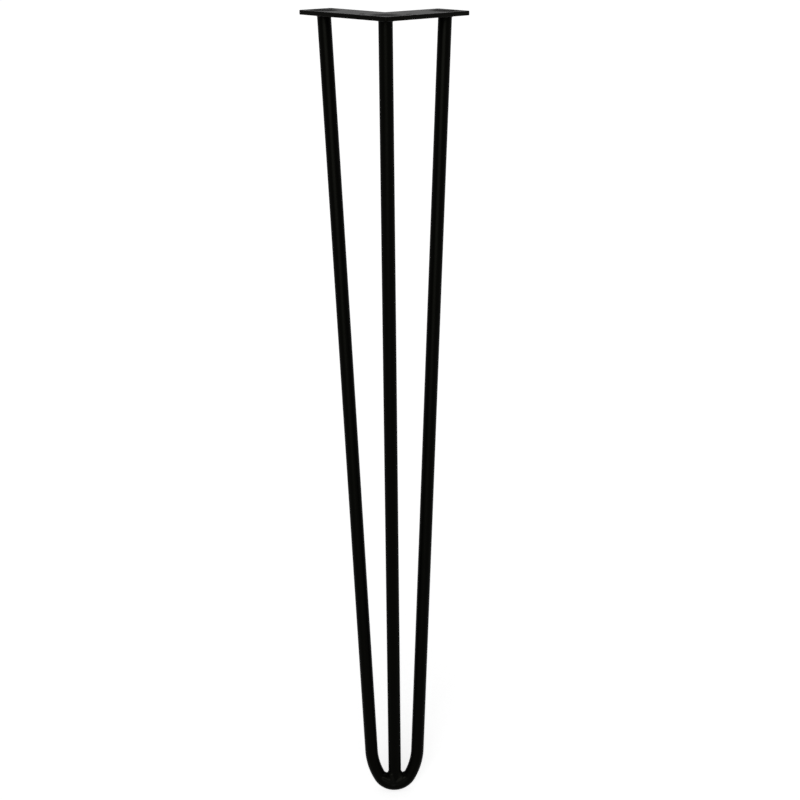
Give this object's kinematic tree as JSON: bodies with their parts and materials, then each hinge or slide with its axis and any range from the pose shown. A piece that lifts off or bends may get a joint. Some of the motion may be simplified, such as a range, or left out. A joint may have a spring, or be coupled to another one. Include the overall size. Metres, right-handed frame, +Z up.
{
  "type": "hairpin table leg",
  "caption": "Black hairpin leg: a round bar bent into a narrow U and a straight bar, welded under an L-shaped plate that screws up beneath a table top.",
  "frame": {"origin": "on the plate's top face, straight above the top of the corner bar; the foot meets the floor 762 mm lower, 40 mm towards -Y", "axes": "+Z up, out of the plate's top face into the table; the plate's outer corner points to -Y; the leg is the same on both sides of X = 0"},
  "size_m": [0.153, 0.1236, 0.762],
  "materials": {
    "black_coat": "satin black powder coat"
  },
  "bodies": {
    "root": {"mounting_plate": "black_coat", "hairpin_rod": "black_coat", "corner_rod": "black_coat", "left_end_weld": "black_coat", "right_end_weld": "black_coat", "corner_rod_welds": "black_coat"}
  },
  "joints": []
}
